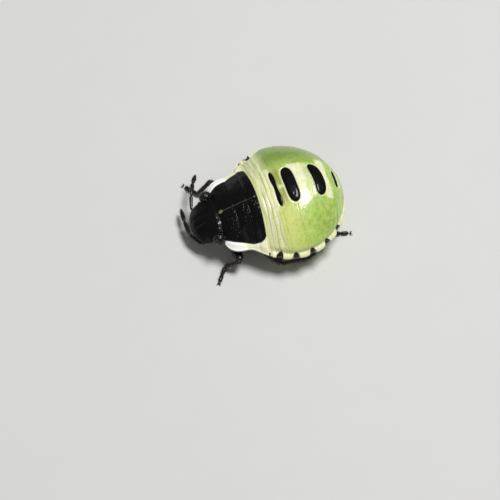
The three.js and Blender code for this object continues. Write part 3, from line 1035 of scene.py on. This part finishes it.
class BUG_OT_skin(bpy.types.Operator):
    """Skin of the thorax's underside and of the whole abdomen, in one piece"""
    bl_idname = "bug.skin"
    bl_label = "Skin"

    RINGS = 262
    BACK_STEPS = 212
    BELLY_STEPS = 132
    SPOT_HALF_LENGTH = 0.09
    SPOT_REACH = 0.16
    RIM_BAND = 0.15
    LEG_SEATS = [(0.34, -0.82), (0.38, -0.38), (0.36, 0.06)]
    BREATHING_HOLES_Y = [0.5, 0.9, 1.25, 1.55]
    TAIL_PLATE_Y = 1.93

    def execute(self, context):
        share = np.linspace(0, 1, self.RINGS)
        share = 0.6 * share + 0.4 * (1 - np.cos(math.pi * share)) / 2
        ring_y = NOSE_Y + (TAIL_Y - NOSE_Y) * share
        angle = np.concatenate([
            np.linspace(0, math.pi, self.BACK_STEPS, endpoint=False),
            np.linspace(math.pi, FULL_TURN, self.BELLY_STEPS, endpoint=False),
        ])
        points = trunk_point(ring_y[:, None], angle[None, :])
        normals = surface_normals(points, wrap=True)
        x, y, z = np.moveaxis(points, -1, 0)
        up = np.sin(angle)[None, :] * np.ones(x.shape)
        rim_gap = rim_distance(x, y, z)
        shift, fold = self.folds(x, y, up)
        spot, notch = self.rim_spots(x, y, rim_gap, up)
        shift = self.relief(x, y, z, rim_gap, up, shift, notch)
        mesh = mesh_from_grid("body_skin", points + normals * shift[..., None], {
            "fold": np.clip(fold, 0, 1),
            "spot": np.minimum(spot, self.dark_chest(x, y, up)),
            **self.markings(x, y, rim_gap, up),
            "pit_room": smooth(y, -0.1, 0.25) * smooth(rim_gap, 0.1, 0.2),
        })
        pitted_piece("body_skin", mesh, "green_skin", ["abdomen", "thorax"], "skin_finish",
                     context.scene.bug_body.skin_pit_gap, width=0.8, depth=0.6)
        return {"FINISHED"}

    def relief(self, x, y, z, rim_gap, up, folds, notch):
        """Height of the skin above the smooth trunk."""
        at_rim = bump(rim_gap, 0.075) * smooth(y, -0.35, -0.15)
        inside_rim = bump(rim_gap - 0.15, 0.07) * (up > 0) * smooth(y, -0.25, 0.1)
        shift = bpy.context.scene.bug_body.seam_strength * folds + at_rim * (0.014 - 0.105 * notch)
        shift = shift - 0.062 * inside_rim
        shift = shift + 0.003 * ripple(x, y, z, 0.8, 5) + 0.001 * ripple(x, y, z, 0.24, 4)
        under_plates = smooth(border_line("metanotum", x) - y, -0.03, 0.03) * smooth(up, -0.5, -0.25)
        shift = shift - 0.05 * under_plates
        for plate in GLAND_PLATES:
            edge = plate_edge(plate, x, y)
            lip, seat = 0.006 * bump(edge - 0.04, 0.025), 0.02 * smooth(edge, 0.015, -0.01)
            shift = shift + (up > 0) * (lip - seat)
        return shift + self.belly_relief(x, y, up)

    def folds(self, x, y, up):
        """Depth of the folds between segments, and how dark each place in them is."""
        shift, fold = np.zeros_like(x), np.zeros_like(x)
        for number, (middle, rim, depth, width, dark) in enumerate(SEAMS):
            seam_y = middle + (rim - middle) * side_share(x, y) ** 2.2
            wander = 0.014 * ripple(x, y, 0 * x, 0.5, 500 + number)
            strength = 0.65 + 0.35 * ripple(x, 0 * y, 0 * x, 0.8, 600 + number)
            near = bump(y - seam_y - wander, width)
            crest = bump(y - seam_y - wander - 0.045, 0.032)
            shift += depth * strength * (0.4 * crest - near)
            fold = np.maximum(fold, near * dark * np.clip(strength, 0, 1))
        return shift, fold * (0.4 + 0.6 * (up > -0.05))

    def rim_spots(self, x, y, rim_gap, up):
        """Distance to the half-moon spots of the rim, and the notches that they lie in."""
        spot, notch = np.full_like(x, FAR_OFF), np.zeros_like(x)
        step = 0.02
        for spot_y, size, dent in RIM_SPOTS:
            way = np.array([float(half_width(spot_y + step) - half_width(spot_y - step)), 2 * step])
            way /= np.linalg.norm(way)
            along = (np.abs(x) - float(half_width(spot_y))) * way[0] + (y - spot_y) * way[1]
            across = rim_gap / np.where(up > 0, self.SPOT_REACH, 0.7 * self.SPOT_REACH)
            away = np.hypot(along / self.SPOT_HALF_LENGTH, across) - size
            spot = np.minimum(spot, away * self.SPOT_HALF_LENGTH)
            notch = np.maximum(notch, dent * bump(along, 0.075))
        return spot, notch

    def belly_relief(self, x, y, up):
        """Middle groove of the chest, swellings round the leg bases and the parts at the tail."""
        relief = -0.03 * bump(x, 0.1) * smooth(y, -0.1, -0.25)
        for leg_x, leg_y in self.LEG_SEATS:
            away = np.hypot(np.abs(x) - leg_x, (y - leg_y) * 1.2)
            relief = relief + 0.035 * bump(away - 0.13, 0.045) - 0.02 * bump(away, 0.07)
        from_tail_plate = np.hypot(x, y - self.TAIL_PLATE_Y)
        relief = relief + 0.02 * bump(from_tail_plate, 0.09) - 0.014 * bump(from_tail_plate - 0.11, 0.02)
        off_holes = (side_share(x, y) - 0.8) * 1.4
        for hole_y in self.BREATHING_HOLES_Y:
            relief = relief - 0.02 * bump(np.hypot(off_holes, y - hole_y), 0.022)
        return relief * smooth(-up, 0.1, 0.3)

    def markings(self, x, y, rim_gap, up):
        """Shares of cream, yellow green, olive and darker green at each place; the darker green on the bug's
        right flank is painted shade.
        """
        side = np.abs(x + 0.03) + 0.02 * ripple(x, y, 0 * x, 0.5, 11)
        along = y + 0.018 * ripple(x, y, 0 * x, 0.5, 12)
        above = smooth(up, -0.1, 0.1)
        between = patch(side, along, 0.57, (-0.03, 0.07), (0.7, 0.8), (1.19, 1.07))
        pale_green = 0.5 * patch(side, along, 0.52, (-0.04, 0.1), (1.0, 1.1), (1.36, 1.26))
        behind = patch(side, along, 0.56, (-0.03, 0.06), (1.5, 1.58), (1.76, 1.68))
        round_ends = sum(bump(np.maximum(plate_edge(plate, x, y), 0), 0.04) for plate in GLAND_PLATES[1:])
        stripes = 0.5 + 0.5 * np.cos(FULL_TURN * (along - 0.01) / 0.165)
        streaks = 0.5 + 0.5 * ripple(0.25 * x, y, 0 * x, 0.13, 14)
        bands = smooth(along, 0.34, 0.16) * (0.36 + 0.5 * stripes + 0.2 * streaks)
        bands = bands * (0.75 + 0.25 * smooth(side, 1.5, 0.8))
        before_first = smooth(0.7 - side, 0, 0.15) * bump(along - 0.24, 0.07)
        tail = (0.05 + 0.32 * np.cos(FULL_TURN * along / 0.095)) * smooth(along, 1.74, 1.86)
        rim = smooth(rim_gap, self.RIM_BAND + 0.03, self.RIM_BAND - 0.05) * smooth(y, -0.5, -0.3)
        across_waist = 0.6 * bump(x, 0.05) * smooth(along, 0.34, 0.4) * smooth(along, 0.62, 0.56)
        cream = np.clip(np.maximum.reduce([
            between, pale_green, 0.95 * behind, 0.75 * round_ends, bands, before_first, tail, rim,
            across_waist]), 0, 1)
        # Yellow green at the front of the abdomen is a real marking; its fade towards the bug's right side is
        # painted shade
        front_yellow_and_far_shade = smooth(0.95 - along, -0.2, 0.6) * (0.25 + 0.75 * smooth(x, -0.9, -0.1))
        olive = patch(side, along, 0.5, (-0.14, 0.12), (0.33, 0.46), (0.62, 0.48))
        # Painted shade: the bug's right flank, turned away from the camera, gets a darker green
        painted_far_shade = smooth(-x, 0.4, 1.0) * smooth(along, 0.1, 0.45)
        return {
            "cream": np.maximum(cream * above, 0.35 * smooth(-up, 0.1, 0.4)),
            "yellow": np.clip(front_yellow_and_far_shade + 0.5 * rim + 0.3 * smooth(rim_gap, 0.5, 0.1), 0, 1),
            "olive": olive * (1 - 0.7 * bump(x, 0.06)) * above,
            "deep": painted_far_shade * above,
        }

    def dark_chest(self, x, y, up):
        """Distance to the black side plates under the thorax."""
        edge = 0.42 + 0.03 * np.sin(y * 14)
        plates = np.maximum(edge - np.abs(x), y + 0.14)
        gaps = sum(bump(y - at - 0.08 * np.abs(x), 0.03) for at in (-0.68, -0.28))
        return np.where(up < 0, plates + 0.09 * gaps, FAR_OFF)


class BUG_OT_back_plates(bpy.types.Operator):
    """The three black plates of the thorax, with their pale side margins"""
    bl_idname = "bug.back_plates"
    bl_label = "Back plates"

    ACROSS, ALONG = 240, 74
    # How creamy the pale margin of each plate is
    CREAMINESS = {"pronotum": 0.0, "mesonotum": 0.8, "metanotum": 1.0}
    SPOT_Y, SPOT_RADIUS, LINE_END_Y, LINE_HALF_WIDTH = -1.04, 0.042, -0.2, 0.005

    def execute(self, context):
        front = "front"
        for name, creamy in self.CREAMINESS.items():
            points, share = self.grid(front, name)
            mesh = self.plate_mesh(name, points, share, self.marks(points, creamy))
            pitted_piece(f"{name}_shell", mesh, "black_shell", [name], "shell_finish",
                         context.scene.bug_body.shell_pit_gap, seed=len(name))
            front = name
        return {"FINISHED"}

    def grid(self, front, rear):
        """Points of the trunk between two borders, from just under the plate in front."""
        angle = np.linspace(-0.12, math.pi + 0.12, self.ACROSS)
        share = np.linspace(0, 1, self.ALONG)
        tuck = 0.0 if front == "front" else 0.035
        front_y = border_line(front, np.cos(angle) * 1.05) - tuck
        rear_y = border_line(rear, np.cos(angle) * 1.2) + 0.012
        y = front_y[None, :] + (rear_y - front_y)[None, :] * share[:, None]
        return trunk_point(y, angle[None, :]), share

    def plate_mesh(self, name, points, share, marks):
        """Domed plate whose rear edge lies over the plate behind it."""
        normals = surface_normals(points, wrap=False)
        x, y, z = np.moveaxis(points, -1, 0)
        edge = fall(np.abs(2 * share - 1), 1.0, 5)[:, None]
        edge = edge * fall(np.abs(2 * np.linspace(0, 1, self.ACROSS) - 1), 1.0, 16)
        rise, dome = smooth(share, 0.0, 0.5)[:, None], np.sin(math.pi * share)[:, None] ** 2
        lift = 0.006 + 0.026 * rise + 0.012 * dome
        lift = lift + 0.003 * ripple(x, y, z, 0.35, 70 + len(name))
        lift = lift + 0.0008 * ripple(x, y, z, 0.12, 80 + len(name))
        middle_groove = bump(x, 0.018) * smooth(y, -1.05, -0.95)
        lift = lift - 0.016 * middle_groove
        margin = black_half_width(y) - np.abs(x)
        lift = lift - 0.016 * bump(margin + 0.01, 0.022) + 0.008 * smooth(margin, -0.02, -0.08)
        lift = lift * (0.2 + 0.8 * smooth(rim_distance(x, y, z), 0.0, 0.2))
        top = points + normals * (lift * edge - 0.012)[..., None]
        bottom = points - normals * (0.02 + 0.05 * edge)[..., None]
        return mesh_from_pair(name, top, bottom, marks)

    def marks(self, points, creamy):
        """Pale margins, the pale spot and middle line, and where the pits are."""
        x, y, z = np.moveaxis(points, -1, 0)
        inward = np.maximum(black_half_width(y) - np.abs(x), RIM_Z - 0.012 - z)
        spot = np.hypot(x, (y - self.SPOT_Y) * 0.8) - self.SPOT_RADIUS
        end = np.hypot(x, y - self.LINE_END_Y) - 0.02
        line = np.maximum(np.abs(x) - self.LINE_HALF_WIDTH, self.SPOT_Y - y)
        smooth_bands = 0.35 + 0.65 * bump(((y + 1.0) % 0.33) - 0.165, 0.1)
        off_line = smooth(np.abs(x), 0.03, 0.1)
        return {
            "pale": inward,
            "creamy": np.clip(creamy + 0.12 * ripple(x, y, z, 0.3, 31), 0, 1),
            "middle": np.minimum(np.minimum(line, end), spot),
            "pit_room": (smooth(inward, 0.0, 0.08) + 0.15) * off_line * smooth_bands,
        }


class BUG_OT_gland_plates(bpy.types.Operator):
    """The glossy black scent gland plates along the middle of the abdomen"""
    bl_idname = "bug.gland_plates"
    bl_label = "Gland plates"

    RINGS = 30
    AROUND = 150
    RISES = (0.03, 0.042, 0.04, 0.024)
    PLATES_WITH_PORES = (2, 3)

    def execute(self, context):
        angle = np.linspace(0, FULL_TURN, self.AROUND, endpoint=False)
        blunt = np.sign(np.cos(angle)) * np.abs(np.cos(angle)) ** 0.46
        ring = np.sin(np.linspace(0, math.pi / 2, self.RINGS))[:, None]
        for number, (plate, rise) in enumerate(zip(GLAND_PLATES, self.RISES), 1):
            middle, wide, long, waist, bend, slant = plate
            x = wide * blunt[None, :] * ring
            pinch = 1 - waist * bump(x, WAIST_REACH)
            y = middle + long * np.sin(angle)[None, :] * ring * pinch + bend * x * x + slant * x
            dome = rise * (1 - ring ** 4) ** 0.5 * (0.5 + 0.5 * pinch)
            lumps = 0.002 * ripple(x, y, x * 0, 0.3, 40 + number) * (1 - ring ** 4)
            pore = np.hypot(np.abs(x) - 0.62 * wide, y - middle - bend * x * x - slant * x)
            dents = 0.01 * bump(pore, 0.02) * (number in self.PLATES_WITH_PORES)
            base = back_height(x, y) + 0.008
            top = np.stack([x, y, base + dome + lumps - dents], axis=-1)
            under = np.stack([x, y, base - 0.04 * np.sqrt(1 - ring ** 2)], axis=-1)[::-1][1:]
            rings = np.concatenate([top, under])
            name = f"gland_plate_{number}"
            marks = {**plain_marks(rings.shape[:2]), "pit": np.zeros(rings.shape[:2])}
            made = add_object(f"{name}_shell", mesh_from_grid(name, rings, marks), finish("shell_finish"))
            finish_piece(made, "black_shell", name)
        return {"FINISHED"}


class BUG_OT_head(bpy.types.Operator):
    """Head shell with its middle lobe, cheeks and the seats of the eyes"""
    bl_idname = "bug.head"
    bl_label = "Head"

    RINGS = 190
    AROUND = 260

    def execute(self, context):
        along = -np.cos(np.linspace(0, math.pi, self.RINGS))[:, None]
        angle = np.linspace(0, FULL_TURN, self.AROUND, endpoint=False)[None, :]
        side, up = np.cos(angle), np.sin(angle)
        y = HEAD_Y + along * np.where(along < 0, HEAD_FRONT, HEAD_REAR) + 0 * angle
        full = (1 - np.abs(along) ** 3) ** (1 / 3)
        edge = HEAD_EDGE_Z + HEAD_SLOPE * np.minimum(0, y - HEAD_Y)
        drop = HEAD_TIP_DROP + (HEAD_DROP - HEAD_TIP_DROP) * smooth(y, HEAD_Y - HEAD_FRONT, HEAD_Y)
        height = np.where(up > 0, HEAD_RISE, drop)
        z = edge + height * np.sign(up) * np.abs(up) ** 1.2 * full
        x = HEAD_HALF_WIDTH * side * full
        points = np.stack([x, y, z], axis=-1)
        shift = self.relief(x, y, z, smooth(up + 0 * x, -0.1, 0.2))
        points = points + surface_normals(points, wrap=True) * shift[..., None]
        mesh = mesh_from_grid("head", points, {
            **plain_marks(x.shape), "pit_room": smooth(up + 0 * x, -0.2, 0.1),
        })
        pitted_piece("head_shell", mesh, "black_shell", ["head"], "shell_finish",
                     context.scene.bug_body.shell_pit_gap, width=0.8, depth=0.7, seed=30)
        return {"FINISHED"}

    def relief(self, x, y, z, over):
        """Height of the shell above the smooth head. over is 1 on the upper side and 0 below."""
        out, ahead = np.abs(x), HEAD_Y - y
        lobe = 0.1 + 0.035 * smooth(-y, 1.3, 1.65)
        lobe_edges = -0.02 * bump(out - lobe, 0.02) * smooth(ahead, -0.02, 0.12) * over
        middle_lobe = 0.018 * bump(x, lobe * 0.75) * smooth(ahead, -0.1, 0.2) * over
        cheeks = 0.011 * bump(out - 0.36, 0.11) * smooth(ahead, 0.08, 0.25) * over
        brows = 0.005 * bump(out - 0.24, 0.08) * smooth(ahead, -0.2, 0.0) * over
        dents = 0.014 * bump(np.hypot(out - 0.17, y - HEAD_Y + 0.02), 0.05) * over
        from_eye = np.hypot(out - EYE_PLACE[0], y - EYE_PLACE[1])
        eye_collars = 0.03 * bump(from_eye - 0.17, 0.05) * over
        beak_groove = 0.05 * bump(x, 0.1) * (1 - over) * smooth(ahead, 0.3, 0.45)
        shift = lobe_edges + middle_lobe - cheeks + brows - dents + eye_collars - beak_groove
        return shift + 0.002 * ripple(x, y, z, 0.25, 21)


class BUG_OT_eyes(bpy.types.Operator):
    """Compound eyes with domed lenses"""
    bl_idname = "bug.eyes"
    bl_label = "Eyes"

    SIZE = (0.145, 0.165, 0.155)

    def execute(self, context):
        for side, sign in SIDES.items():
            made = add_object(f"eye_{side}_lenses", bpy.data.meshes.new("eye"))
            run_tree(made, "lens_ball", {
                "Fineness": 4,
                "Size": [s * MM for s in self.SIZE],
                "Centre": to_frame([sign * EYE_PLACE[0], *EYE_PLACE[1:]]).tolist(),
                "Dome": 0.016,
                "Material": finish("eye_finish"),
            })
            finish_piece(made, "eye", f"eye_{side}")
        return {"FINISHED"}


class BUG_OT_beak(bpy.types.Operator):
    """Jointed beak, folded back between the leg bases"""
    bl_idname = "bug.beak"
    bl_label = "Beak"

    ROUTE = [(0, -1.54, 0.4), (0, -1.4, 0.29), (0, -1.05, 0.24), (0, -0.7, 0.215), (0, -0.3, 0.2)]

    def execute(self, context):
        meshes = []
        for i, ends in enumerate(zip(self.ROUTE, self.ROUTE[1:])):
            thick = 0.075 - 0.012 * i
            meshes.append(tube(f"beak_{i}", ends, swell(thick, thick, thick * 0.85)))
        made = add_object("beak", join_meshes("beak", meshes), finish("limb_finish"))
        finish_piece(made, "limb_shell", "rostrum")
        return {"FINISHED"}


class BUG_OT_feelers(bpy.types.Operator):
    """Four-jointed feelers"""
    bl_idname = "bug.feelers"
    bl_label = "Feelers"

    # Shares of the radius at base, middle and tip of each length, and where its middle is
    LENGTHS = [(0.8, 0.9, 0.75, 0.5), (0.55, 0.8, 0.85, 0.7), (0.55, 0.95, 0.85, 0.6), (0.6, 1.1, 0.35, 0.45)]

    def execute(self, context):
        radius = context.scene.bug_limbs.feeler_radius / MM
        for number, (side, route) in enumerate(FEELERS.items()):
            for i, (base, middle, tip, peak) in enumerate(self.LENGTHS):
                thickness = swell(radius * base, radius * middle, radius * tip, peak)
                cell = (number / 2, number / 2 + 0.48, i / 4, i / 4 + 0.23)
                mesh = tube(f"feeler_{i}", route[i:i + 2], thickness, cell=cell)
                node = f"antenna_{side}_{i + 1}"
                finish_piece(add_object(f"{node}_shell", mesh, finish("limb_finish")), "limb_shell", node)
        return {"FINISHED"}


class BUG_OT_legs(bpy.types.Operator):
    """Six legs, each with base, upper leg, lower leg and a two-jointed foot with claws"""
    bl_idname = "bug.legs"
    bl_label = "Legs"

    # Each length of a leg: its node, shares of the radius at base, middle and tip, where its middle
    # is, how flat it is, and its low and high place on the unwrap
    LENGTHS = [
        ("femur", (1.0, 0.95, 0.75), 0.5, 1.0, (0.0, 0.09)),
        ("femur", (0.7, 1.0, 0.72), 0.6, 1.0, (0.1, 0.41)),
        ("tibia", (0.95, 0.85, 1.0), 0.4, 0.85, (0.42, 0.74)),
        ("foot", (0.85, 1.0, 1.0), 0.5, 1.0, (0.75, 0.86)),
        ("foot", (0.85, 1.05, 0.8), 0.5, 1.0, (0.87, 0.99)),
    ]

    def execute(self, context):
        limbs = context.scene.bug_limbs
        radii = {"femur": limbs.femur_radius, "tibia": limbs.tibia_radius, "foot": limbs.foot_radius}
        for number, (leg, joints) in enumerate(LEGS.items()):
            parts = {node: [] for node in radii}
            for i, (node, shares, peak, flat, rows) in enumerate(self.LENGTHS):
                thickness = swell(*(radii[node] / MM * share for share in shares), peak)
                cell = (number / 6, number / 6 + 0.15, *rows)
                parts[node].append(tube(node, joints[i:i + 2], thickness, flat=flat, cell=cell))
            parts["foot"] += claw_meshes(joints[3], joints[5])
            for node, meshes in parts.items():
                name = f"leg_{leg}_{node}"
                made = add_object(f"{name}_shell", join_meshes(name, meshes), finish("limb_finish"))
                finish_piece(made, "limb_shell", name)
        return {"FINISHED"}


class BUG_OT_bristles(bpy.types.Operator):
    """Short bristles on legs and feelers"""
    bl_idname = "bug.bristles"
    bl_label = "Bristles"

    # The limbs that each coat grows on, and the length of its bristles as a share
    COATS = {"leg_bristles": ("leg_", 1.0), "feeler_bristles": ("antenna_", 0.6)}

    def execute(self, context):
        limbs = context.scene.bug_limbs
        for name, (limb, share) in self.COATS.items():
            skins = [o for o in bpy.data.objects if o.name.startswith(limb) and o.name.endswith("_shell")]
            made = add_object(name, join_meshes(name, [o.data.copy() for o in skins]))
            made.data.materials.clear()
            run_tree(made, "bristle_coat", {
                "Gap": limbs.bristle_gap * (0.5 + share / 2),
                "Length": limbs.bristle_length * share,
                "Seed": context.scene.bug_body.seed,
                "Material": finish("bristles"),
            })
            finish_piece(made, "limb_shell")
        return {"FINISHED"}


class BUG_OT_stage(bpy.types.Operator):
    """Floor, soft studio lights and the camera at the photo's angle"""
    bl_idname = "bug.stage"
    bl_label = "Stage"

    # The place on the bug that the camera is aimed past, and how far past it, right and up
    TARGET = (0.0, 0.2, 0.9)
    TARGET_OFF_CENTRE = (0.453, 1.161)
    FLOOR_RADIUS, FLOOR_SIDES = 0.4, 96
    SENSOR_WIDTH = 36.0
    KEY_PLACE, KEY_SIZE = (-0.0035, 0.0205, 0.0862), 0.032
    FILL_PLACE, FILL_SIZE = (0.07, -0.07, 0.03), 0.09
    SKY_COLOUR = (0.97, 0.98, 0.98, 1.0)

    def execute(self, context):
        stage = context.scene.bug_stage
        self.add_floor()
        self.add_camera(context, stage)
        self.add_light("key", self.KEY_PLACE, stage.key_power, self.KEY_SIZE)
        self.add_light("fill", self.FILL_PLACE, stage.fill_power, self.FILL_SIZE)
        world = bpy.data.worlds.new("studio")
        world.use_nodes = True
        sky = world.node_tree.nodes["Background"]
        sky.inputs["Color"].default_value = self.SKY_COLOUR
        sky.inputs["Strength"].default_value = stage.sky
        context.scene.world = world
        context.scene.view_settings.view_transform = "Standard"
        return {"FINISHED"}

    def add_floor(self):
        turns = [FULL_TURN * i / self.FLOOR_SIDES for i in range(self.FLOOR_SIDES)]
        circle = [(self.FLOOR_RADIUS * math.cos(t), self.FLOOR_RADIUS * math.sin(t), 0.0) for t in turns]
        mesh = bpy.data.meshes.new("floor")
        mesh.from_pydata(circle, [], [list(range(self.FLOOR_SIDES))])
        add_object("floor", mesh, finish("pale_floor"))

    def add_camera(self, context, stage):
        a, e, r = stage.azimuth, stage.elevation, stage.roll
        back = Vector((math.sin(a) * math.cos(e), -math.cos(a) * math.cos(e), math.sin(e)))
        level = Vector((math.cos(a), math.sin(a), 0.0))
        rising = back.cross(level)
        right = level * math.cos(r) + rising * math.sin(r)
        above = rising * math.cos(r) - level * math.sin(r)
        past_right, past_up = self.TARGET_OFF_CENTRE
        target = Vector(to_frame(self.TARGET)) - MM * (right * past_right + above * past_up)
        camera = bpy.data.cameras.new("camera")
        camera.lens = stage.lens
        camera.sensor_width = self.SENSOR_WIDTH
        camera.clip_start, camera.clip_end = 0.002, 1.0
        made = add_object("camera", camera)
        turn = Matrix((right, above, back)).transposed().to_4x4()
        made.matrix_world = Matrix.Translation(target + back * stage.distance) @ turn
        context.scene.camera = made

    def add_light(self, name, place, power, size):
        light = bpy.data.lights.new(name, "AREA")
        light.shape = "DISK"
        light.size = size
        light.energy = power
        made = add_object(name, light)
        made.location = place
        made.rotation_mode = "QUATERNION"
        made.rotation_quaternion = Vector(place).to_track_quat("Z", "Y")


class BUG_PT_panel(bpy.types.Panel):
    """Lists the steps that build the bug and its main sizes and colours"""
    bl_idname = "BUG_PT_panel"
    bl_label = "Young green shield bug"
    bl_space_type = "VIEW_3D"
    bl_region_type = "UI"
    bl_category = "Bug"

    def draw(self, context):
        for operator in OPERATORS:
            self.layout.operator(operator.bl_idname)
        for name in GROUPS:
            group = getattr(context.scene, name)
            column = self.layout.column()
            for key in group.__annotations__:
                column.prop(group, key)


GROUPS = {
    "bug_body": BugBodySettings,
    "bug_limbs": BugLimbSettings,
    "bug_colours": BugColourSettings,
    "bug_stage": BugStageSettings,
}
OPERATORS = [
    BUG_OT_stage,
    BUG_OT_skin,
    BUG_OT_back_plates,
    BUG_OT_gland_plates,
    BUG_OT_head,
    BUG_OT_eyes,
    BUG_OT_beak,
    BUG_OT_feelers,
    BUG_OT_legs,
    BUG_OT_bristles,
]
CLASSES = [*GROUPS.values(), *OPERATORS, BUG_PT_panel]


def register():
    for made in CLASSES:
        bpy.utils.register_class(made)
    for name, group in GROUPS.items():
        setattr(bpy.types.Scene, name, bpy.props.PointerProperty(type=group))


def unregister():
    for name in GROUPS:
        delattr(bpy.types.Scene, name)
    for made in reversed(CLASSES):
        bpy.utils.unregister_class(made)


def main():
    register()
    for operator in OPERATORS:
        group, name = operator.bl_idname.split(".")
        getattr(getattr(bpy.ops, group), name)()


if __name__ == "__main__":
    main()
